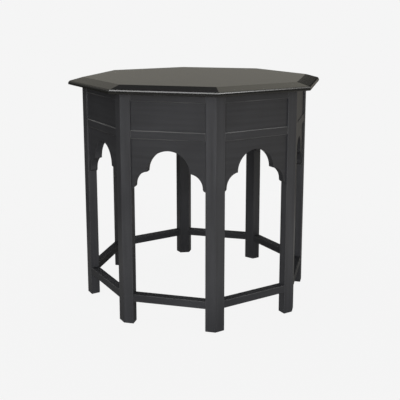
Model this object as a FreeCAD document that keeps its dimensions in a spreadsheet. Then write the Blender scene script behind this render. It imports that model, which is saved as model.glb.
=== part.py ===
import FreeCAD, Part
import Sketcher
import math
import os
import re

from FreeCAD import Placement, Rotation, Vector

# An octagonal side table: eight corner posts, framed sides with arch boards, and a bevelled top.
# The origin lies on the floor under the middle of the top, with +Z up and one side facing -Y.

os.makedirs("parts", exist_ok=True)
doc = FreeCAD.newDocument("octagonal_side_table")

SIDES = 8
SCREWS = 4
HALF_TURN = 180 / SIDES
NEAR = 1e-4

# Driving sizes in millimetres
driving = {
    "table_height": 560,
    "frame_across_flats": 531,
    "top_overhang": 31.5,
    "top_thickness": 18,
    "bevel_width": 33,
    "nose_height": 8.5,
    "nose_round": 7,
    "nose_foot_round": 1.5,
    "leg_face_width": 24.2,
    "leg_depth": 22.5,
    "leg_corner_round": 2,
    "leg_edge_chamfer": 1,
    "foot_chamfer": 1,
    "rail_setback": 1.2,
    "rail_depth": 20,
    "top_rail_height": 19,
    "middle_rail_height": 20,
    "panel_height": 64,
    "panel_recess": 4.5,
    "tongue_thickness": 6,
    "rail_groove_depth": 6,
    "leg_groove_depth": 8,
    "arch_board_height": 113.5,
    "arch_board_thickness": 18,
    "crown_radius": 49,
    "cusp_step": 3,
    "arch_foot_round": 7,
    "stretcher_clearance": 54,
    "stretcher_height": 18,
    "stretcher_tenon_thickness": 8,
    "stretcher_tenon_height": 12,
    "stretcher_tenon_length": 12,
    "rail_edge_round": 2.8,
    "stretcher_edge_round": 1.5,
    "screw_diameter": 3.5,
    "screw_head_diameter": 7,
    "screw_length": 30,
    "screw_hole_clearance": 0.25,
    "joint_clearance": 0.1,
    "end_clearance": 0.5,
    "cut_overrun": 5,
}
sizes = doc.addObject("Spreadsheet::Sheet", "Sizes")
for row, (name, length) in enumerate(driving.items(), 1):
    sizes.set(f"A{row}", name)
    sizes.set(f"B{row}", str(length))
    sizes.setAlias(f"B{row}", name)
doc.recompute()


# Turns the plain names of sizes in a formula into references to the sheet
def on_sheet(formula):
    return re.sub("[a-z_]+", lambda word: f"Sizes.{word[0]}" if word[0] in driving else word[0], formula)


def number(formula):
    return float(sizes.evalExpression(on_sheet(formula)))


def bind(thing, field, formula):
    thing.setExpression(field, on_sheet(formula))


# Heights above the floor, from the top downwards
LEG_TOP = "(table_height - top_thickness)"
PANEL_TOP = f"({LEG_TOP} - top_rail_height)"
PANEL_FOOT = f"({PANEL_TOP} - panel_height)"
ARCH_TOP = f"({PANEL_FOOT} - middle_rail_height)"
ARCH_FOOT = f"({ARCH_TOP} - arch_board_height)"
STRETCHER_TOP = "(stretcher_clearance + stretcher_height)"

# Places in plan: from the middle to a side, and along a side from its middle to the legs
APOTHEM = "(frame_across_flats / 2)"
TOP_ACROSS = "(frame_across_flats + 2 * top_overhang)"
LEG_REACH = f"({APOTHEM} / cos({HALF_TURN}))"
CLEAR_HALF = f"({APOTHEM} * tan({HALF_TURN}) - leg_face_width)"
RAIL_BACK = "(rail_setback + rail_depth)"
RAIL_MIDDLE = "(rail_setback + rail_depth / 2)"

# The groove that runs round every framed side, measured inwards from the faces of the legs; the round on a
# rail's front edges stays on the lip in front of its groove
TONGUE_BACK = "(panel_recess + tongue_thickness)"
GROOVE_FRONT = "(panel_recess - joint_clearance)"
GROOVE_BACK = f"({TONGUE_BACK} + joint_clearance)"
LEG_TONGUE = "(leg_groove_depth - end_clearance)"
RAIL_TONGUE = "(rail_groove_depth - end_clearance)"
LIP_ROUND = f"min(rail_edge_round; {GROOVE_FRONT} - rail_setback - joint_clearance)"
SCREW_INSET = f"(({TONGUE_BACK} + {RAIL_BACK}) / 2)"
SCREW_HOLE = "(screw_diameter / 2 + screw_hole_clearance)"

# The cusped arch: a half-round crown between two quarter lobes, on rounded feet
LOBE_X = "(crown_radius - cusp_step)"
LOBE_Z = f"({ARCH_FOOT} + arch_foot_round)"
LOBE_END = f"({CLEAR_HALF} - arch_foot_round)"
LOBE_RADIUS = f"({LOBE_END} - {LOBE_X})"
CROWN_Z = f"({LOBE_Z} + sqrt({LOBE_RADIUS} ^ 2 - cusp_step ^ 2))"


def new_body(label):
    body = doc.addObject("PartDesign::Body", label)
    body.Label = label
    return body


def origin_feature(body, role):
    return next(item for item in body.Origin.OriginFeatures if item.Role == role)


def new_sketch(body, name, role, offset):
    sketch = body.newObject("Sketcher::SketchObject", name)
    sketch.AttachmentSupport = (origin_feature(body, role), [""])
    sketch.MapMode = "FlatFace"
    bind(sketch, "AttachmentOffset.Base.z", offset)
    return sketch


# Fixes a point of a sketch with one dimension per axis, or on the axis itself at zero
def fix_point(sketch, item, point, place):
    for kind, axis, formula in (("DistanceX", -2, place[0]), ("DistanceY", -1, place[1])):
        if formula is None:
            continue
        if abs(number(formula)) < NEAR:
            sketch.addConstraint(Sketcher.Constraint("PointOnObject", item, point, axis))
            continue
        row = sketch.addConstraint(Sketcher.Constraint(kind, -1, 1, item, point, number(formula)))
        bind(sketch, f"Constraints[{row}]", formula)


# Closed outline through the corners; round stretches maps the corner that starts one to its centre and turn
def draw_outline(sketch, corners, round_stretches={}):
    ends = []
    for i, start in enumerate(corners):
        finish = corners[(i + 1) % len(corners)]
        here, there = [Vector(number(x), number(y), 0) for x, y in (start, finish)]
        if i not in round_stretches:
            sketch.addGeometry(Part.LineSegment(here, there))
            ends.append((1, 2))
            continue
        x, y, turn = round_stretches[i]
        centre = Vector(number(x), number(y), 0)
        angles = [math.atan2(spot.y - centre.y, spot.x - centre.x) for spot in (here, there)]
        circle = Part.Circle(centre, Vector(0, 0, 1), (here - centre).Length)
        sketch.addGeometry(Part.ArcOfCircle(circle, *(angles if turn > 0 else reversed(angles))))
        ends.append((1, 2) if turn > 0 else (2, 1))
    for i, corner in enumerate(corners):
        before = i - 1 if i else len(corners) - 1
        sketch.addConstraint(Sketcher.Constraint("Coincident", before, ends[before][1], i, ends[i][0]))
        fix_point(sketch, i, ends[i][0], corner)
        if i in round_stretches:
            fix_point(sketch, i, 3, (None, round_stretches[i][1]))


def draw_circle(sketch, x, y, radius):
    centre = Vector(number(x), number(y), 0)
    sketch.addGeometry(Part.Circle(centre, Vector(0, 0, 1), number(radius)))
    fix_point(sketch, 0, 3, (x, y))
    row = sketch.addConstraint(Sketcher.Constraint("Radius", 0, number(radius)))
    bind(sketch, f"Constraints[{row}]", radius)


def rectangle(left, right, low, high):
    return [(left, low), (right, low), (right, high), (left, high)]


def pad(body, name, sketch, length, midplane=False, flipped=False):
    feature = body.newObject("PartDesign::Pad", name)
    feature.Profile = sketch
    feature.Midplane = midplane
    feature.Reversed = flipped
    bind(feature, "Length", length)
    doc.recompute()
    return feature


# A pocket that must take something off the solid
def pocket(body, name, sketch, depth, flipped=False):
    before = body.Shape.Volume
    feature = body.newObject("PartDesign::Pocket", name)
    feature.Profile = sketch
    feature.Reversed = flipped
    bind(feature, "Length", depth)
    doc.recompute()
    if body.Shape.Volume > before - NEAR:
        raise RuntimeError(f"{body.Label}: {name} cuts nothing")
    return feature


# Fillets or chamfers the edges of a feature that the test picks
def dress(body, kind, name, base, picked, field, size):
    feature = body.newObject(f"PartDesign::{kind}", name)
    names = [f"Edge{i}" for i, edge in enumerate(base.Shape.Edges, 1) if picked(edge)]
    feature.Base = (base, names)
    bind(feature, field, size)
    doc.recompute()
    return feature


# Repeats a feature once for each screw that holds the top
def at_each_screw(body, name, feature):
    pattern = body.newObject("PartDesign::PolarPattern", name)
    pattern.Originals = [feature]
    pattern.Axis = (origin_feature(body, "Z_Axis"), [""])
    pattern.Angle = 360
    pattern.Occurrences = SCREWS
    body.Tip = pattern
    doc.recompute()
    return pattern


def same(one, other):
    return abs(one - other) < NEAR


def runs_along(edge, axis):
    first, last = edge.Vertexes[0].Point, edge.Vertexes[-1].Point
    return (last - first).cross(axis).Length < NEAR < (last - first).Length


def lies_flat_at(edge, height):
    return all(same(vertex.Z, height) for vertex in edge.Vertexes)


# Side frame: X along the side, Y inwards from the faces of the legs; side 1 faces -Y, side 3 faces +X
def place_on_side(body, side):
    angle = (side - 1) * 2 * HALF_TURN
    body.Placement = Placement(Vector(), Rotation(Vector(0, 0, 1), angle))
    bind(body, "Placement.Base.x", f"{APOTHEM} * sin({angle})")
    bind(body, "Placement.Base.y", f"0 - {APOTHEM} * cos({angle})")


# Leg frame: X outwards through the corner of the table; leg 1 stands at the right end of side 1
def place_on_corner(body, corner):
    angle = (2 * corner - 1) * HALF_TURN
    body.Placement = Placement(Vector(), Rotation(Vector(0, 0, 1), angle - 90))
    bind(body, "Placement.Base.x", f"{LEG_REACH} * sin({angle})")
    bind(body, "Placement.Base.y", f"0 - {LEG_REACH} * cos({angle})")


# Place in a leg's section, by the distance from the outer corner along one face and inwards from that face
def leg_place(along, inwards, hand):
    lean, rise = f"sin({HALF_TURN})", f"cos({HALF_TURN})"
    across = f"({along}) * {rise} - ({inwards}) * {lean}"
    return f"0 - ({along}) * {lean} - ({inwards}) * {rise}", across if hand > 0 else f"0 - ({across})"


# Two slots in plan, one in each side face of a leg
def leg_slots(body, name, height, slot_depth, front, back):
    for hand in (1, -1):
        floor, mouth = f"leg_face_width - {slot_depth}", "leg_face_width + cut_overrun"
        corners = [(floor, front), (mouth, front), (mouth, back), (floor, back)]
        sketch = new_sketch(body, f"{name}_{'left' if hand < 0 else 'right'}", "XY_Plane", height)
        draw_outline(sketch, [leg_place(along, inwards, hand) for along, inwards in corners])
        yield sketch


def make_leg(corner):
    body = new_body(f"leg_{corner}")
    outer_right = leg_place("leg_face_width", "0", 1)
    inner_right = leg_place("leg_face_width", "leg_depth", 1)
    inner_left = leg_place("leg_face_width", "leg_depth", -1)
    outer_left = leg_place("leg_face_width", "0", -1)
    section = new_sketch(body, "section", "XY_Plane", "0")
    draw_outline(section, [("0", "0"), outer_right, inner_right, inner_left, outer_left])
    post = pad(body, "post", section, LEG_TOP)
    upright = Vector(0, 0, 1)

    def front_corner(edge):
        return runs_along(edge, upright) and same(edge.Vertexes[0].X, 0)

    def other_corner(edge):
        return runs_along(edge, upright) and not same(edge.Vertexes[0].X, 0)

    eased = dress(body, "Chamfer", "edge_chamfer", post, other_corner, "Size", "leg_edge_chamfer")
    nosed = dress(body, "Fillet", "front_corner_round", eased, front_corner, "Radius", "leg_corner_round")

    def foot_edge(edge):
        return lies_flat_at(edge, 0)

    dress(body, "Chamfer", "foot_chamfer", nosed, foot_edge, "Size", "foot_chamfer")
    for sketch in leg_slots(body, "side_groove", LEG_TOP, "leg_groove_depth", GROOVE_FRONT, GROOVE_BACK):
        pocket(body, sketch.Name + "_cut", sketch, f"{LEG_TOP} - {ARCH_FOOT}")
    half_slot = "(stretcher_tenon_thickness / 2 + joint_clearance)"
    slot_depth = "(stretcher_tenon_length + end_clearance)"
    slot_height = "stretcher_tenon_height + 2 * joint_clearance"
    slot_top = f"{STRETCHER_TOP} - stretcher_height / 2 + ({slot_height}) / 2"
    front, back = f"{RAIL_MIDDLE} - {half_slot}", f"{RAIL_MIDDLE} + {half_slot}"
    for sketch in leg_slots(body, "mortise", slot_top, slot_depth, front, back):
        pocket(body, sketch.Name + "_cut", sketch, slot_height)
    place_on_corner(body, corner)
    return body


# A bar of one section between two legs, with tenons on its ends; its front edges are rounded where they show
def make_bar(label, side, section, tenon_section, tenon_length, edge_round):
    body = new_body(label)
    profile = new_sketch(body, "section", "YZ_Plane", "0")
    draw_outline(profile, section)
    bar = pad(body, "bar", profile, f"2 * {CLEAR_HALF}", midplane=True)
    front, under_top = number("rail_setback"), number(LEG_TOP)

    def front_edge(edge):
        outer = all(same(vertex.Y, front) for vertex in edge.Vertexes)
        return outer and runs_along(edge, Vector(1, 0, 0)) and not lies_flat_at(edge, under_top)

    dress(body, "Fillet", "front_edge_round", bar, front_edge, "Radius", edge_round)
    tenon = new_sketch(body, "tenon_section", "YZ_Plane", "0")
    draw_outline(tenon, tenon_section)
    pad(body, "tenons", tenon, f"2 * {CLEAR_HALF} + 2 * {tenon_length}", midplane=True)
    place_on_side(body, side)
    return body


# The rails that carry a screw are drilled and countersunk from below
def make_top_rail(side):
    groove_top = f"{PANEL_TOP} + rail_groove_depth"
    section = [
        ("rail_setback", PANEL_TOP), (GROOVE_FRONT, PANEL_TOP), (GROOVE_FRONT, groove_top),
        (GROOVE_BACK, groove_top), (GROOVE_BACK, PANEL_TOP), (RAIL_BACK, PANEL_TOP),
        (RAIL_BACK, LEG_TOP), ("rail_setback", LEG_TOP),
    ]
    tenon = rectangle("panel_recess", TONGUE_BACK, groove_top, LEG_TOP)
    body = make_bar(f"top_rail_{side}", side, section, tenon, LEG_TONGUE, LIP_ROUND)
    if (side - 1) % (SIDES // SCREWS):
        return body
    hole = new_sketch(body, "screw_hole", "XY_Plane", LEG_TOP)
    draw_circle(hole, "0", SCREW_INSET, SCREW_HOLE)
    drilled = pocket(body, "screw_hole_cut", hole, "top_rail_height + cut_overrun")
    underside = number(PANEL_TOP)

    def mouth(edge):
        return isinstance(edge.Curve, Part.Circle) and lies_flat_at(edge, underside)

    countersink = f"screw_head_diameter / 2 - {SCREW_HOLE}"
    dress(body, "Chamfer", "countersink", drilled, mouth, "Size", countersink)
    return body


def make_middle_rail(side):
    low_groove, high_groove = f"{ARCH_TOP} + rail_groove_depth", f"{PANEL_FOOT} - rail_groove_depth"
    section = [
        ("rail_setback", ARCH_TOP), (GROOVE_FRONT, ARCH_TOP), (GROOVE_FRONT, low_groove),
        (GROOVE_BACK, low_groove), (GROOVE_BACK, ARCH_TOP), (RAIL_BACK, ARCH_TOP),
        (RAIL_BACK, PANEL_FOOT), (GROOVE_BACK, PANEL_FOOT), (GROOVE_BACK, high_groove),
        (GROOVE_FRONT, high_groove), (GROOVE_FRONT, PANEL_FOOT), ("rail_setback", PANEL_FOOT),
    ]
    tenon = rectangle("panel_recess", TONGUE_BACK, low_groove, high_groove)
    return make_bar(f"middle_rail_{side}", side, section, tenon, LEG_TONGUE, LIP_ROUND)


def make_stretcher(side):
    low = "stretcher_clearance"
    half_thick = "stretcher_tenon_thickness / 2"
    shoulder = "((stretcher_height - stretcher_tenon_height) / 2)"
    section = rectangle("rail_setback", RAIL_BACK, low, STRETCHER_TOP)
    front, back = f"{RAIL_MIDDLE} - {half_thick}", f"{RAIL_MIDDLE} + {half_thick}"
    tenon = rectangle(front, back, f"{low} + {shoulder}", f"{STRETCHER_TOP} - {shoulder}")
    length = "stretcher_tenon_length"
    return make_bar(f"stretcher_{side}", side, section, tenon, length, "stretcher_edge_round")


# A flat panel held by the groove on all four sides
def make_panel(side):
    body = new_body(f"panel_{side}")
    half = f"({CLEAR_HALF} + {LEG_TONGUE})"
    face = new_sketch(body, "face", "XZ_Plane", "0 - panel_recess")
    low, high = f"{PANEL_FOOT} - {RAIL_TONGUE}", f"{PANEL_TOP} + {RAIL_TONGUE}"
    draw_outline(face, rectangle(f"0 - {half}", half, low, high))
    pad(body, "board", face, "tongue_thickness", flipped=True)
    place_on_side(body, side)
    return body


# Outline of an arch board, drawn from the left foot up over the top and back along the cusped arch
def arch_outline(half, top):
    foot, step = ARCH_FOOT, CLEAR_HALF
    wide = half != CLEAR_HALF
    corners = [(f"0 - {half}", foot), (f"0 - {half}", top), (half, top), (half, foot)]
    corners += [(step, foot)] if wide else []
    first = len(corners) - 1
    corners += [(LOBE_END, LOBE_Z), ("crown_radius", CROWN_Z)]
    corners += [("0 - crown_radius", CROWN_Z), (f"0 - {LOBE_END}", LOBE_Z)]
    corners += [(f"0 - {step}", foot)] if wide else []
    round_stretches = {
        first: (step, LOBE_Z, -1),
        first + 1: (LOBE_X, LOBE_Z, 1),
        first + 2: ("0", CROWN_Z, 1),
        first + 3: (f"0 - {LOBE_X}", LOBE_Z, 1),
        first + 4: (f"0 - {step}", LOBE_Z, -1),
    }
    return corners, round_stretches


# The arch board: full thickness between the legs, with a tongue flush with its face
def make_arch_board(side):
    body = new_body(f"arch_board_{side}")
    face = new_sketch(body, "face", "XZ_Plane", "0 - panel_recess")
    draw_outline(face, *arch_outline(CLEAR_HALF, ARCH_TOP))
    pad(body, "board", face, "arch_board_thickness", flipped=True)
    tongue = new_sketch(body, "tongue_face", "XZ_Plane", "0 - panel_recess")
    half = f"({CLEAR_HALF} + {LEG_TONGUE})"
    draw_outline(tongue, *arch_outline(half, f"{ARCH_TOP} + {RAIL_TONGUE}"))
    pad(body, "tongue", tongue, "tongue_thickness", flipped=True)
    place_on_side(body, side)
    return body


def octagon(across_flats):
    reach = f"({across_flats}) / 2 / cos({HALF_TURN})"
    angles = [(2 * i + 1) * HALF_TURN for i in range(SIDES)]
    return [(f"{reach} * cos({angle})", f"{reach} * sin({angle})") for angle in angles]


# The top: a nose with a full upper round, a wide bevel and a flat middle, with pilot holes for its screws
def make_table_top():
    body = new_body("table_top")
    bevel_foot = f"{LEG_TOP} + nose_height"
    nose = new_sketch(body, "nose_outline", "XY_Plane", LEG_TOP)
    draw_outline(nose, octagon(TOP_ACROSS))
    pad(body, "nose", nose, "nose_height")
    foot = new_sketch(body, "bevel_foot_outline", "XY_Plane", bevel_foot)
    draw_outline(foot, octagon(TOP_ACROSS))
    flat = new_sketch(body, "flat_outline", "XY_Plane", "table_height")
    draw_outline(flat, octagon(f"{TOP_ACROSS} - 2 * bevel_width"))
    bevel = body.newObject("PartDesign::AdditiveLoft", "bevel")
    bevel.Profile = foot
    bevel.Sections = [flat]
    bevel.Ruled = True
    doc.recompute()

    def upper_edge(edge):
        return lies_flat_at(edge, number(bevel_foot))

    def lower_edge(edge):
        return lies_flat_at(edge, number(LEG_TOP))

    rounded = dress(body, "Fillet", "nose_round", bevel, upper_edge, "Radius", "nose_round")
    dress(body, "Fillet", "nose_foot_round", rounded, lower_edge, "Radius", "nose_foot_round")
    pilot = new_sketch(body, "pilot_hole", "XY_Plane", LEG_TOP)
    draw_circle(pilot, "0", f"{SCREW_INSET} - {APOTHEM}", "screw_diameter / 2")
    pilot_depth = "screw_length - top_rail_height + end_clearance"
    drilled = pocket(body, "pilot_hole_cut", pilot, pilot_depth, flipped=True)
    at_each_screw(body, "pilot_holes", drilled)
    return body


# Countersunk screws, up through every second top rail into the top
def make_top_screws():
    body = new_body("top_screws")
    body.AllowCompound = True
    profile = new_sketch(body, "half_section", "XZ_Plane", f"{APOTHEM} - {SCREW_INSET}")
    radius, head = "screw_diameter / 2", "screw_head_diameter / 2"
    neck = f"{PANEL_TOP} + (screw_head_diameter - screw_diameter) / 2"
    shoulder = f"{PANEL_TOP} + screw_length - screw_diameter"
    point = f"{PANEL_TOP} + screw_length"
    outline = [("0", PANEL_TOP), (head, PANEL_TOP), (radius, neck), (radius, shoulder), ("0", point)]
    draw_outline(profile, outline)
    screw = body.newObject("PartDesign::Revolution", "screw")
    screw.Profile = profile
    screw.ReferenceAxis = (profile, ["V_Axis"])
    screw.Angle = 360
    doc.recompute()
    at_each_screw(body, "screws", screw)
    return body


pieces = [make_table_top(), make_top_screws()]
repeated = (make_leg, make_top_rail, make_panel, make_middle_rail, make_arch_board, make_stretcher)
for make_piece in repeated:
    pieces += [make_piece(place) for place in range(1, SIDES + 1)]
doc.recompute()

# Nothing is written unless every object came out sound
for item in doc.Objects:
    if {"Invalid", "Error"} & set(item.State):
        raise RuntimeError(f"{item.Label} did not recompute: {item.State}")
for piece in pieces:
    if piece.Shape.isNull() or not piece.Shape.isValid():
        raise RuntimeError(f"{piece.Label} has no valid shape")
for piece in pieces:
    piece.Shape.exportStep(f"parts/{piece.Label}.step")
    print(piece.Label, "solids", len(piece.Shape.Solids), "volume", round(piece.Shape.Volume))
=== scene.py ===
import math

import bpy
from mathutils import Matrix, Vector


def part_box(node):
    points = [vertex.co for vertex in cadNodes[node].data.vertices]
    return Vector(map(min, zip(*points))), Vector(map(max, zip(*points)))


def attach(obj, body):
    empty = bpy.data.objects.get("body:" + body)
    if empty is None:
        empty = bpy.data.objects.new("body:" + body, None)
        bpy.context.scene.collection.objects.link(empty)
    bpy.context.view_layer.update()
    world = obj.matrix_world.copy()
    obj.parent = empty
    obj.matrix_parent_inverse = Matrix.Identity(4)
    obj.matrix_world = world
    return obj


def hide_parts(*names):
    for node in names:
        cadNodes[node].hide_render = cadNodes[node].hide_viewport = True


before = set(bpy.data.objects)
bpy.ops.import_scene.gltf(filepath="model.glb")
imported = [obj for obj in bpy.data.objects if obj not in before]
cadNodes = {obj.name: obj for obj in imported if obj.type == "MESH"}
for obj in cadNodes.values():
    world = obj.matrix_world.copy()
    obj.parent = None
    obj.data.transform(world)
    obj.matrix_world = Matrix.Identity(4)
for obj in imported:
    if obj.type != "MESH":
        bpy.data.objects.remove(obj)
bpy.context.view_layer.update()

# Octagonal side table in charcoal satin paint. Side 1 faces -Y and the floor is z = 0.
sideCount = 8
sideAngle = math.radians(360 / sideCount)
print("frame loaded with", len(cadNodes), "nodes")


# Small helpers for picking things in code and for placing them

def pickOnly(piece):
    if bpy.context.object and bpy.context.object.mode != 'OBJECT':
        bpy.ops.object.mode_set(mode='OBJECT')
    bpy.ops.object.select_all(action='DESELECT')
    piece.select_set(True)
    bpy.context.view_layer.objects.active = piece


def pickEdges(piece, test):  # test gets the two ends of each edge
    bpy.ops.mesh.select_mode(type='EDGE')
    bpy.ops.mesh.select_all(action='DESELECT')
    bpy.ops.object.mode_set(mode='OBJECT')
    points = piece.data.vertices
    for edge in piece.data.edges:
        edge.select = test(*[points[i].co for i in edge.vertices])
    bpy.ops.object.mode_set(mode='EDIT')


def pickUpperFaces(piece):  # those that look up
    bpy.ops.mesh.select_mode(type='FACE')
    bpy.ops.mesh.select_all(action='DESELECT')
    bpy.ops.object.mode_set(mode='OBJECT')
    for face in piece.data.polygons:
        face.select = face.normal.z > 0.9
    bpy.ops.object.mode_set(mode='EDIT')


def pickPoints(piece, test):  # test gets the place of each point
    bpy.ops.mesh.select_mode(type='VERT')
    bpy.ops.mesh.select_all(action='DESELECT')
    bpy.ops.object.mode_set(mode='OBJECT')
    for point in piece.data.vertices:
        point.select = test(point.co)
    bpy.ops.object.mode_set(mode='EDIT')


def applyPlace(piece):
    pickOnly(piece)
    bpy.ops.object.transform_apply(location=True, rotation=True, scale=True)


def shadeRounded(piece, degrees):
    pickOnly(piece)
    bpy.ops.object.shade_smooth_by_angle(angle=math.radians(degrees))


def polar(azimuth, elevation, distance=1.0):  # azimuth 0 is in front of side 1, and turns towards +X
    a, e = math.radians(azimuth), math.radians(elevation)
    return Vector((math.sin(a) * math.cos(e), -math.cos(a) * math.cos(e), math.sin(e))) * distance


# Node helpers: addNode gives the new node, and the others its output

def addNode(tree, kind, inputs=None, **settings):
    made = tree.nodes.new(kind)
    for name, value in settings.items():
        setattr(made, name, value)
    for socket, value in (inputs or {}).items():
        if isinstance(value, bpy.types.NodeSocket):
            tree.links.new(value, made.inputs[socket])
        else:
            made.inputs[socket].default_value = value
    return made


def addNoise(tree, vector, scale, detail, roughness=0.5):
    return addNode(tree, 'ShaderNodeTexNoise', {"Vector": vector, "Scale": scale, "Detail": detail,
                                                "Roughness": roughness}).outputs["Fac"]


def addRemap(tree, value, given, wanted=(0, 1), way='LINEAR'):
    return addNode(tree, 'ShaderNodeMapRange', {"Value": value, "From Min": given[0], "From Max": given[1],
                                                "To Min": wanted[0], "To Max": wanted[1]},
                   interpolation_type=way).outputs[0]


def addMath(tree, operation, *values):
    return addNode(tree, 'ShaderNodeMath', dict(enumerate(values)), operation=operation).outputs[0]


def addVectorMath(tree, operation, *vectors):
    made = addNode(tree, 'ShaderNodeVectorMath', dict(enumerate(vectors)), operation=operation)
    return made.outputs["Value" if operation in ('DOT_PRODUCT', 'LENGTH') else "Vector"]


def addColourMix(tree, share, low, high):
    return addNode(tree, 'ShaderNodeMix', {"Factor": share, 6: low, 7: high}, data_type='RGBA').outputs[2]


# Painted wood: close grain telegraphing through a satin coat, broad mottling, edges a little lighter, partly
# rubbed paint and partly painted highlight

framePaint = {
    "darkCoat": (0.0177, 0.0180, 0.0198, 1),
    "lightCoat": (0.0219, 0.0223, 0.0246, 1),
    "rubbedAndHighlitCoat": (0.060, 0.058, 0.054, 1),
    "roughness": (0.36, 0.41),
    "gloss": 0.5,
    "grainScale": 800.0,
    "grainSpread": (0.3, 0.7),  # noise values where its effect starts, and where it is full
    "grainDepth": 0.00002,
    "streak": 0.04,  # how far the grain shifts the colour
    "strokeScale": 130.0,
    "stroke": 0.14,  # how far the brush strokes shift it
    "mottlingScale": 7.0,
    "mottlingSpread": (0.35, 0.65),
    "stippleScale": 1300.0,
    "stippleDepth": 0.00003,
    "rubAndHighlightWidth": 0.0010,
    "rubAndHighlightBend": (0.995, 0.9),  # cosine of the bend where the rubbing and painted highlight start, and where they are full
    "rubAndHighlightSpread": (0.38, 0.62),
    "leastRubAndHighlight": 0.25,
    "rubAndHighlight": 0.5,
    "rubAndHighlightDulling": 0.18,
    "roundHighlight": 0.0,  # how far long rounds get a painted highlight
    "roundTilt": (0.2, 0.5),  # upward share of the normal where that starts, and where it is full
    "levelTilt": (0.995, 0.94),  # faces nearer to level than these get no painted highlight on their rounds
    "shadedTops": 0.0,  # how far painted shade takes the shine off faces that look up
    "shadedTopsTilt": (0.9, 0.99),
}
# Rails: a lighter coat along edges and rounds, mostly painted highlight
railPaint = dict(framePaint, rubbedAndHighlitCoat=(0.088, 0.087, 0.086, 1), rubAndHighlightWidth=0.0025, rubAndHighlight=1.0, roundHighlight=0.9)
# Stretchers: a duller finish, a lighter coat as painted light, and painted shade that takes the shine off
# their tops
stretcherPaint = dict(framePaint, darkCoat=(0.0205, 0.0208, 0.0226, 1), lightCoat=(0.0255, 0.0260, 0.0282, 1),
                      roughness=(0.46, 0.54), gloss=0.3, rubAndHighlight=0.8, roundHighlight=0.3, shadedTops=0.95)
# Legs: a lighter coat than the frame, which is painted light, and broader lighter edges, partly painted
# highlight on the arrises
legPaint = dict(framePaint, darkCoat=(0.0226, 0.0230, 0.0252, 1), lightCoat=(0.0279, 0.0284, 0.0310, 1),
                rubbedAndHighlitCoat=(0.080, 0.080, 0.080, 1), rubAndHighlightWidth=0.0014, rubAndHighlight=0.9)
# Top: a smoother, glossier finish, with a darker coat as painted shade
topPaint = dict(framePaint, darkCoat=(0.0060, 0.0060, 0.0056, 1), lightCoat=(0.0082, 0.0080, 0.0074, 1),
                rubbedAndHighlitCoat=(0.024, 0.023, 0.021, 1), roughness=(0.17, 0.22), mottlingScale=5.0)
uprightGrain, levelGrain = (1, 1, 28), (28, 1, 1)


def addRubbingAndHighlight(tree, paint, mottling, normal, upwards):  # how much of the lighter coat shows, 0 to 1: rubbed edges, and painted highlight on edges and rounds
    rounded = addNode(tree, 'ShaderNodeBevel', {"Radius": paint["rubAndHighlightWidth"]}, samples=6).outputs["Normal"]
    corner = addRemap(tree, addVectorMath(tree, 'DOT_PRODUCT', rounded, normal), paint["rubAndHighlightBend"])
    # painted highlight on rounds that lean between upright and level
    tilt = addMath(tree, 'ABSOLUTE', upwards)
    leaning = addRemap(tree, tilt, paint["roundTilt"], (0, paint["roundHighlight"]))
    notLevel = addRemap(tree, tilt, paint["levelTilt"])
    edge = addMath(tree, 'MAXIMUM', corner, addMath(tree, 'MULTIPLY', leaning, notLevel))
    patch = addRemap(tree, mottling, paint["rubAndHighlightSpread"], (paint["leastRubAndHighlight"], paint["rubAndHighlight"]))
    return addMath(tree, 'MULTIPLY', edge, patch)


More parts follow.
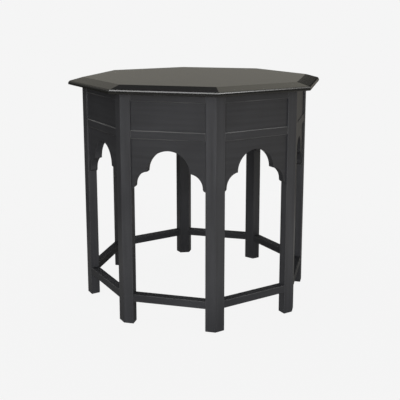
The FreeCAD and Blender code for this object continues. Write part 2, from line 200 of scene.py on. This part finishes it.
def paintedWood(name, paint, stretch, turn=0.0):
    material = bpy.data.materials.new(name)
    material.use_nodes = True
    tree = material.node_tree
    shader = tree.nodes["Principled BSDF"]
    shader.inputs["IOR"].default_value = 1.5
    shader.inputs["Specular IOR Level"].default_value = paint["gloss"]
    place = addNode(tree, 'ShaderNodeTexCoord').outputs["Object"]
    mapped = {"Vector": place, "Rotation": (0, 0, turn), "Scale": stretch}
    alongGrain = addNode(tree, 'ShaderNodeMapping', mapped, vector_type='TEXTURE').outputs["Vector"]
    normal = addNode(tree, 'ShaderNodeNewGeometry').outputs["Normal"]
    upwards = addNode(tree, 'ShaderNodeSeparateXYZ', {0: normal}).outputs["Z"]
    grain = addNoise(tree, alongGrain, paint["grainScale"], detail=5.0, roughness=0.62)
    strokes = addNoise(tree, alongGrain, paint["strokeScale"], detail=2.0)
    mottling = addNoise(tree, place, paint["mottlingScale"], detail=3.0)
    stipple = addNoise(tree, place, paint["stippleScale"], detail=2.0)

    # Colour: mottling first, then the grain and the brush strokes as faint streaks, then the rubbed edges
    # with painted highlight
    cloudy = addRemap(tree, mottling, paint["mottlingSpread"])
    coat = addColourMix(tree, cloudy, paint["darkCoat"], paint["lightCoat"])
    streak = addRemap(tree, grain, paint["grainSpread"], (1 - paint["streak"], 1 + paint["streak"]))
    brushed = addRemap(tree, strokes, paint["grainSpread"], (1 - paint["stroke"], 1 + paint["stroke"]))
    both = addMath(tree, 'MULTIPLY', streak, brushed)
    streaked = addNode(tree, 'ShaderNodeVectorMath', {0: coat, "Scale": both}, operation='SCALE').outputs[0]
    rubbedAndHighlit = addRubbingAndHighlight(tree, paint, mottling, normal, upwards)
    colour = addColourMix(tree, rubbedAndHighlit, streaked, paint["rubbedAndHighlitCoat"])
    tree.links.new(colour, shader.inputs["Base Color"])

    # Sheen: satin, a little uneven with the grain, duller along the rubbed edges and painted highlights, and
    # with painted shade taking the shine off faces that look up
    satin = addRemap(tree, grain, paint["grainSpread"], paint["roughness"])
    duller = addMath(tree, 'MULTIPLY_ADD', rubbedAndHighlit, paint["rubAndHighlightDulling"], satin)
    tree.links.new(duller, shader.inputs["Roughness"])
    # painted shade: less shine on faces that look up
    if paint["shadedTops"]:
        leastGloss = paint["gloss"] * (1 - paint["shadedTops"])
        shadedTopGloss = addRemap(tree, upwards, paint["shadedTopsTilt"], (paint["gloss"], leastGloss))
        tree.links.new(shadedTopGloss, shader.inputs["Specular IOR Level"])

    # Relief: the roller's stipple over the grain
    ridges = addNode(tree, 'ShaderNodeBump', {"Height": grain, "Strength": 0.5,
                                              "Distance": paint["grainDepth"]}).outputs["Normal"]
    skin = addNode(tree, 'ShaderNodeBump', {"Height": stipple, "Strength": 0.15, "Normal": ridges,
                                            "Distance": paint["stippleDepth"]}).outputs["Normal"]
    tree.links.new(skin, shader.inputs["Normal"])
    return material


def paintForEachSide(name, paint):  # level grain, turned with the side
    return [paintedWood(f"{name}{side + 1}", paint, levelGrain, side * sideAngle)
            for side in range(sideCount)]


legMaterial = paintedWood("charcoalPaintUprightGrain", legPaint, uprightGrain)
sideMaterials = paintForEachSide("charcoalPaintSide", framePaint)
railMaterials = paintForEachSide("charcoalPaintRail", railPaint)
stretcherMaterials = paintForEachSide("charcoalPaintStretcher", stretcherPaint)
topMaterial = paintedWood("charcoalPaintTop", topPaint, levelGrain)
print("paint mixed")


# CAD pieces keep their shape; their sharp edges are eased as sandpaper would

easing = {
    "mergeDistance": 0.00001,
    "facetAngle": 1,  # flatter joins between facets are dissolved first
    "sharpAngle": 30,
    "segments": 3,
    "smoothAngle": 34,
}
easedWidths = {
    "leg": 0.0006,
    "top_rail": 0.0004,
    "middle_rail": 0.0004,
    "stretcher": 0.0004,
    "panel": 0.0004,
    "arch_board": 0.0007,
}
materialsOfKind = {
    "leg": [legMaterial] * sideCount,
    "top_rail": railMaterials,
    "middle_rail": railMaterials,
    "stretcher": stretcherMaterials,
    "panel": sideMaterials,
    "arch_board": sideMaterials,
}


def makeRoundShading(degrees):  # smooth over rounded stretches, sharp at real corners
    tree = bpy.data.node_groups.new("roundShading", 'GeometryNodeTree')
    tree.is_modifier = True
    for way in ('INPUT', 'OUTPUT'):
        tree.interface.new_socket("Geometry", in_out=way, socket_type='NodeSocketGeometry')
    start = addNode(tree, 'NodeGroupInput').outputs[0]
    soft = addNode(tree, 'GeometryNodeSetShadeSmooth', {"Geometry": start}, domain='FACE').outputs[0]
    turn = addNode(tree, 'GeometryNodeInputMeshEdgeAngle').outputs["Unsigned Angle"]
    sharp = addNode(tree, 'FunctionNodeCompare', {"A": turn, "B": math.radians(degrees)},
                    operation='GREATER_THAN').outputs[0]
    both = addNode(tree, 'GeometryNodeSetShadeSmooth', {"Geometry": soft, "Selection": sharp,
                                                        "Shade Smooth": False}, domain='EDGE').outputs[0]
    addNode(tree, 'NodeGroupOutput', {0: both})
    return tree


def easeEdges(piece, width):
    weld = piece.modifiers.new("joinFacets", 'WELD')
    weld.merge_threshold = easing["mergeDistance"]
    level = piece.modifiers.new("flattenFacets", 'DECIMATE')
    level.decimate_type = 'DISSOLVE'
    level.angle_limit = math.radians(easing["facetAngle"])
    eased = piece.modifiers.new("easeEdges", 'BEVEL')
    eased.width = width
    eased.segments = easing["segments"]
    eased.limit_method = 'ANGLE'
    eased.angle_limit = math.radians(easing["sharpAngle"])
    piece.modifiers.new("roundShading", 'NODES').node_group = roundShading
    piece.modifiers.new("flatFacesFirst", 'WEIGHTED_NORMAL').keep_sharp = True


roundShading = makeRoundShading(easing["smoothAngle"])
for nodeName, piece in cadNodes.items():
    kind, _, number = nodeName.rpartition("_")
    if kind in easedWidths:
        easeEdges(piece, easedWidths[kind])
        piece.data.materials.clear()
        piece.data.materials.append(materialsOfKind[kind][int(number) - 1])
print("frame pieces eased and painted")


# Table top: octagon with a wide bevel, a rounded nose and crisp mitres

tableTop = {
    "acrossFlats": 0.594,
    "height": 0.560,
    "thickness": 0.018,
    "bevelWidth": 0.033,
    "noseHeight": 0.0085,
    "noseRound": 0.007,
    "noseSegments": 14,
    "noseFootRound": 0.0015,
    "noseFootSegments": 5,
    "arrisRound": 0.0008,
    "arrisAngle": 8,
}


def makeTableTop(size):
    reach = size["acrossFlats"] / 2 / math.cos(sideAngle / 2)
    drop = size["thickness"] - size["noseHeight"]
    shoulder, underside = size["height"] - drop, size["height"] - size["thickness"]
    near = 0.0001  # points this close to a height are taken to be on it
    bpy.ops.object.select_all(action='DESELECT')
    bpy.ops.mesh.primitive_cylinder_add(vertices=sideCount, radius=reach, depth=size["thickness"],
                                        location=(0, 0, size["height"] - size["thickness"] / 2),
                                        rotation=(0, 0, sideAngle / 2))
    piece = bpy.context.object
    piece.name = "octagonTop"
    applyPlace(piece)
    bpy.ops.object.mode_set(mode='EDIT')
    pickUpperFaces(piece)
    bpy.ops.mesh.inset(thickness=size["bevelWidth"], depth=0)
    pickPoints(piece, lambda point: point.z > shoulder and point.xy.length > reach - size["bevelWidth"] / 2)
    bpy.ops.transform.translate(value=(0, 0, -drop))

    # The upper round is large and the lower one small; a round's tangents start this far from the corner
    slope = math.atan2(size["bevelWidth"], drop)
    tangent = size["noseRound"] * math.tan(slope / 2)
    pickEdges(piece, lambda a, b: abs(a.z - shoulder) + abs(b.z - shoulder) < near)
    bpy.ops.mesh.bevel(offset=tangent, segments=size["noseSegments"], profile=0.5, affect='EDGES')
    pickEdges(piece, lambda a, b: abs(a.z - underside) + abs(b.z - underside) < near)
    bpy.ops.mesh.bevel(offset=size["noseFootRound"], segments=size["noseFootSegments"], profile=0.5,
                       affect='EDGES')
    bpy.ops.object.mode_set(mode='OBJECT')
    ease = piece.modifiers.new("easeEdges", 'BEVEL')  # the mitres and the edge of the flat middle
    ease.width = size["arrisRound"]
    ease.segments = easing["segments"]
    ease.limit_method = 'ANGLE'
    ease.angle_limit = math.radians(size["arrisAngle"])
    even = piece.modifiers.new("flatFacesFirst", 'WEIGHTED_NORMAL')
    pickOnly(piece)
    bpy.ops.object.modifier_apply(modifier=ease.name)
    shadeRounded(piece, easing["smoothAngle"])
    bpy.ops.object.modifier_apply(modifier=even.name)
    piece.data.materials.append(topMaterial)
    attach(piece, "root")
    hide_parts("table_top")


makeTableTop(tableTop)
print("top made")


# Screws up through every second top rail, head down: countersunk, with a cross recess and a rolled thread

screw = {  # heights are from the head's flat face
    "count": 4,
    "sides": 28,
    "headAcross": 0.007,
    "rimHeight": 0.0003,
    "neckStart": 0.0021,
    "neckAcross": 0.003,
    "threadStart": 0.0115,
    "threadDepth": 0.0005,
    "pitch": 0.0016,
    "stepsPerTurn": 12,
    "pointStart": 0.0265,
    "pointAcross": 0.0003,
    "length": 0.030,
    "recessAcross": 0.0042,
    "recessWidth": 0.0010,
    "recessDepth": 0.0017,
    "recessTaper": 0.5,
    "smoothAngle": 35,
}
plating = {
    "bright": (0.64, 0.56, 0.38, 1),  # yellow zinc
    "dull": (0.40, 0.34, 0.22, 1),
    "roughness": (0.28, 0.45),
    "cloudScale": 700.0,
    "cloudSpread": (0.35, 0.65),
    "lineScale": 1800.0,
    "lineStretch": (1, 1, 9),  # fine lines run round the screw
    "lineSpread": (0.3, 0.7),
    "lineDepth": 0.00001,
}


def platedSteel(name, look):
    material = bpy.data.materials.new(name)
    material.use_nodes = True
    tree = material.node_tree
    shader = tree.nodes["Principled BSDF"]
    shader.inputs["Metallic"].default_value = 1.0
    place = addNode(tree, 'ShaderNodeTexCoord').outputs["Object"]
    clouds = addNoise(tree, place, look["cloudScale"], detail=3.0)
    around = addNode(tree, 'ShaderNodeMapping', {"Vector": place,
                                                 "Scale": look["lineStretch"]}).outputs["Vector"]
    lines = addNoise(tree, around, look["lineScale"], detail=2.0)
    worn = addRemap(tree, clouds, look["cloudSpread"])
    tree.links.new(addColourMix(tree, worn, look["dull"], look["bright"]), shader.inputs["Base Color"])
    sheen = addRemap(tree, lines, look["lineSpread"], look["roughness"])
    tree.links.new(sheen, shader.inputs["Roughness"])
    ridges = addNode(tree, 'ShaderNodeBump', {"Height": lines, "Strength": 0.3,
                                              "Distance": look["lineDepth"]}).outputs["Normal"]
    tree.links.new(ridges, shader.inputs["Normal"])
    return material


def screwRings(size):  # height, radius and middle of each ring; along the thread the middle circles the axis
    neck = size["neckAcross"] / 2
    rings = [(size["rimHeight"], size["headAcross"] / 2, (0, 0)),
             (size["neckStart"], neck, (0, 0)),
             (size["threadStart"], neck, (0, 0))]
    threadLength = size["length"] - size["threadStart"]
    steps = round(threadLength / size["pitch"] * size["stepsPerTurn"])
    for step in range(1, steps + 1):
        height = size["threadStart"] + step / steps * threadLength
        narrowing = max(0, (height - size["pointStart"]) / (size["length"] - size["pointStart"]))
        radius = neck + narrowing * (size["pointAcross"] / 2 - neck)
        reach = size["threadDepth"] / 2 * min(1, step / size["stepsPerTurn"]) * (1 - narrowing)
        turn = 2 * math.pi * step / size["stepsPerTurn"]
        rings.append((height, radius, (reach * math.cos(turn), reach * math.sin(turn))))
    return rings


def makeRecessCutter(size, foot, turn):
    depth = size["recessDepth"]
    bpy.ops.object.select_all(action='DESELECT')
    bpy.ops.mesh.primitive_cube_add(size=2 * depth, location=(0, 0, foot), rotation=(0, 0, turn))
    cutter = bpy.context.object
    cutter.scale = (size["recessAcross"] / 2 / depth, size["recessWidth"] / 2 / depth, 1)
    applyPlace(cutter)
    bpy.ops.object.mode_set(mode='EDIT')
    pickPoints(cutter, lambda point: point.z > foot)  # the recess narrows as it goes in
    bpy.ops.transform.resize(value=(size["recessTaper"], size["recessTaper"], 1),
                             center_override=(0, 0, foot + depth))
    bpy.ops.object.mode_set(mode='OBJECT')
    return cutter


def cutRecess(piece, size, foot):
    for turn in (0, math.pi / 2):
        cutter = makeRecessCutter(size, foot, turn)
        cut = piece.modifiers.new("crossRecess", 'BOOLEAN')
        cut.operation = 'DIFFERENCE'
        cut.object = cutter
        pickOnly(piece)
        bpy.ops.object.modifier_apply(modifier=cut.name)
        bpy.data.objects.remove(cutter)


def makeScrews(size):
    low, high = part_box("top_screws")
    foot, out = low.z, high.x - size["headAcross"] / 2
    bpy.ops.object.select_all(action='DESELECT')
    bpy.ops.mesh.primitive_cylinder_add(vertices=size["sides"], radius=size["headAcross"] / 2,
                                        depth=size["rimHeight"],
                                        location=(0, 0, foot + size["rimHeight"] / 2))
    piece = bpy.context.object
    applyPlace(piece)
    bpy.ops.object.mode_set(mode='EDIT')
    pickUpperFaces(piece)
    rings = screwRings(size)
    for (height, radius, middle), (nextHeight, nextRadius, nextMiddle) in zip(rings, rings[1:]):
        step = (nextMiddle[0] - middle[0], nextMiddle[1] - middle[1], nextHeight - height)
        bpy.ops.mesh.extrude_region_move(TRANSFORM_OT_translate={"value": step})
        bpy.ops.transform.resize(value=(nextRadius / radius, nextRadius / radius, 1),
                                 center_override=(*nextMiddle, foot + nextHeight))
    bpy.ops.object.mode_set(mode='OBJECT')
    cutRecess(piece, size, foot)
    shadeRounded(piece, size["smoothAngle"])
    piece.data.materials.append(platedSteel("yellowZincSteel", plating))
    for number in range(size["count"]):
        pickOnly(piece)
        bpy.ops.object.duplicate()
        made = bpy.context.object
        made.name = f"topScrew{number + 1}"
        made.location = polar(360 * number / size["count"], 0, out)
        applyPlace(made)
        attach(made, "root")
        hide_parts("top_screws")
    bpy.data.objects.remove(piece)


makeScrews(screw)
print("screws made")


# Floor, light and camera. The camera sees a plain pale studio, and the paint mirrors other tones.

studio = {
    "backdrop": (0.913, 0.913, 0.913, 1),
    "shadedFloor": (0.55, 0.55, 0.55, 1),
    "plainShare": (0.98, 1.0),  # how plain the floor looks under the table, and away from it
    "plainReach": (0.25, 1.0),
    "floorSize": 60,
    "floorDrop": 0.0004,
    "floorTones": ((0.0, 0.08), (0.3, 0.14), (0.65, 0.40), (1.2, 0.11), (2.2, 0.31)),  # metres, brightness
    "floorWarmth": (0.04, 0.16),
    "litAzimuth": 60,  # the mirrored floor is brightest this way
    "litRange": (0.1, 1.7),
    "litReach": (0.35, 0.8),
    "backWall": (0.281, 0.270, 0.239, 1),
    "ceiling": (0.082, 0.082, 0.084, 1),
    "ceilingEdge": (0.36, 0.46),  # how far up the wall turns into the ceiling
    "darkAzimuth": 262,  # this way the wall is as dark as the ceiling
    "darkEdge": (0.80, 0.97),
    "frontAzimuth": 12,  # and so is the half of the room on the camera's side
    "frontEdge": (-0.25, 0.1),
    "lampAim": 0.4,
}

# Mirrored cards: colour, azimuth, elevation, half width in degrees, and softness of the edge in radians
cards = {
    "darkCard": ((0.01, 0.01, 0.01, 1), 175.5, 9, 7.5, 0.015),  # low behind the table, for the right bevel
    "glow": ((0.546, 0.525, 0.452, 1), 177, 34, 12, 0.04),  # high behind the table
}

# Watts, width, azimuth, elevation, distance, colour, and whether the lamp lights the coat and the gloss
softboxes = {
    "rightSoftbox": (16, 2.0, 112, 48, 2.8, (1, 0.97, 0.90), True, True),
    "leftSoftbox": (32, 2.0, 275, 48, 2.8, (1, 0.99, 0.96), True, True),
    "frontFill": (144, 2.0, 10, 5, 3.0, (1, 1, 1), True, False),
    "highFill": (14, 2.0, 10, 45, 3.0, (1, 1, 1), True, False),
    "rearFill": (110, 2.5, 185, 10, 3.0, (1, 1, 1), True, False),
    "leftCard": (76, 2.0, -25, 65, 3.0, (1, 1, 1), False, True),
    "rightCard": (100, 2.0, 76, 65, 3.0, (1, 1, 1), False, True),
}


def addFloorTones(tree, look, away):
    farthest = look["floorTones"][-1][0]
    tones = addNode(tree, 'ShaderNodeValToRGB', {"Fac": addMath(tree, 'DIVIDE', away, farthest)})
    coolest, warmest = look["floorWarmth"]
    for i, (distance, tone) in enumerate(look["floorTones"]):  # a new ramp has two stops already
        stop = tones.color_ramp.elements[i] if i < 2 else tones.color_ramp.elements.new(1)
        warmth = coolest + (warmest - coolest) * distance / farthest
        stop.position = distance / farthest
        stop.color = (tone, tone * (1 - warmth / 3), tone * (1 - warmth), 1)
    return tones.outputs["Color"]


def makeFloor(look):
    bpy.ops.object.select_all(action='DESELECT')
    bpy.ops.mesh.primitive_plane_add(size=look["floorSize"], location=(0, 0, -look["floorDrop"]))
    floor = bpy.context.object
    floor.name = "floor"
    material = bpy.data.materials.new("paleFloor")
    material.use_nodes = True
    tree = material.node_tree
    tree.nodes.remove(tree.nodes["Principled BSDF"])
    place = addNode(tree, 'ShaderNodeTexCoord').outputs["Object"]
    away = addVectorMath(tree, 'LENGTH', place)

    # What the camera sees: plain, with a hint of shade under the table
    pale = addNode(tree, 'ShaderNodeEmission', {"Color": look["backdrop"]}).outputs[0]
    shaded = addNode(tree, 'ShaderNodeBsdfDiffuse', {"Color": look["shadedFloor"]}).outputs[0]
    plainShare = addRemap(tree, away, look["plainReach"], look["plainShare"])
    seen = addNode(tree, 'ShaderNodeMixShader', {0: plainShare, 1: shaded, 2: pale}).outputs[0]

    # What the paint mirrors: the floor glows with painted light and shade, tones by distance, darker under
    # the table and brighter on one side
    outward = addVectorMath(tree, 'NORMALIZE', place)
    towards = addVectorMath(tree, 'DOT_PRODUCT', outward, polar(look["litAzimuth"], 0))
    lit = addRemap(tree, towards, (-1, 1), look["litRange"])
    far = addRemap(tree, away, look["litReach"])
    strength = addNode(tree, 'ShaderNodeMix', {"Factor": far, 2: 1.0, 3: lit}).outputs[0]
    thrown = addNode(tree, 'ShaderNodeEmission', {"Color": addFloorTones(tree, look, away),
                                                  "Strength": strength}).outputs[0]
    ray = addNode(tree, 'ShaderNodeLightPath').outputs["Is Camera Ray"]
    either = addNode(tree, 'ShaderNodeMixShader', {0: ray, 1: thrown, 2: seen}).outputs[0]
    behind = addNode(tree, 'ShaderNodeNewGeometry').outputs["Backfacing"]  # clear from below
    clear = addNode(tree, 'ShaderNodeBsdfTransparent').outputs[0]
    both = addNode(tree, 'ShaderNodeMixShader', {0: behind, 1: either, 2: clear}).outputs[0]
    tree.links.new(both, tree.nodes["Material Output"].inputs["Surface"])
    floor.data.materials.append(material)


def makeWorld(look):
    world = bpy.data.worlds.new("studio")
    bpy.context.scene.world = world
    world.use_nodes = True
    tree = world.node_tree
    tree.nodes.clear()
    direction = addNode(tree, 'ShaderNodeTexCoord').outputs["Generated"]
    height = addNode(tree, 'ShaderNodeSeparateXYZ', {0: direction}).outputs["Z"]

    def facing(azimuth, elevation=0):
        return addVectorMath(tree, 'DOT_PRODUCT', direction, polar(azimuth, elevation))

    def cover(around, value, edge, colour):
        return addColourMix(tree, addRemap(tree, value, edge, way='SMOOTHSTEP'), around, colour)

    around = cover(look["backWall"], height, look["ceilingEdge"], look["ceiling"])
    around = cover(around, facing(look["darkAzimuth"]), look["darkEdge"], look["ceiling"])
    around = cover(around, facing(look["frontAzimuth"]), look["frontEdge"], look["ceiling"])
    for colour, azimuth, elevation, halfWidth, softness in cards.values():
        reach = math.radians(halfWidth)
        edge = (math.cos(reach + softness), math.cos(reach - softness))
        around = cover(around, facing(azimuth, elevation), edge, colour)
    lighting = addNode(tree, 'ShaderNodeBackground', {"Color": around}).outputs[0]
    backdrop = addNode(tree, 'ShaderNodeBackground', {"Color": look["backdrop"]}).outputs[0]
    ray = addNode(tree, 'ShaderNodeLightPath').outputs["Is Camera Ray"]
    both = addNode(tree, 'ShaderNodeMixShader', {0: ray, 1: lighting, 2: backdrop}).outputs[0]
    addNode(tree, 'ShaderNodeOutputWorld', {"Surface": both}).is_active_output = True


def addSoftbox(name, power, width, azimuth, elevation, distance, colour, onCoat, inGloss):
    aim = Vector((0, 0, studio["lampAim"]))
    place = aim + polar(azimuth, elevation, distance)
    bpy.ops.object.light_add(type='AREA', location=place)
    lamp = bpy.context.object
    lamp.name = name
    lamp.rotation_euler = (aim - place).to_track_quat('-Z', 'Y').to_euler()
    lamp.data.shape = 'SQUARE'
    lamp.data.size = width
    lamp.data.energy = power
    lamp.data.color = colour
    lamp.visible_diffuse = onCoat
    lamp.visible_glossy = inGloss


makeFloor(studio)
makeWorld(studio)
for boxName, facts in softboxes.items():
    addSoftbox(boxName, *facts)

view = {
    "place": (0.42993, -1.70008, 0.71401),
    "turn": 13.9398,
    "downwards": 10.0263,
    "lens": 62.2893,
    "sensor": 36,
    "shift": -0.16,
    "clip": (0.05, 200),
}
bpy.ops.object.camera_add(location=view["place"],
                          rotation=(math.radians(90 - view["downwards"]), 0, math.radians(view["turn"])))
camera = bpy.context.object
camera.data.sensor_width = view["sensor"]
camera.data.lens = view["lens"]
camera.data.shift_y = view["shift"]
camera.data.clip_start, camera.data.clip_end = view["clip"]
bpy.context.scene.camera = camera
bpy.context.scene.view_settings.view_transform = 'Standard'
print("studio set")
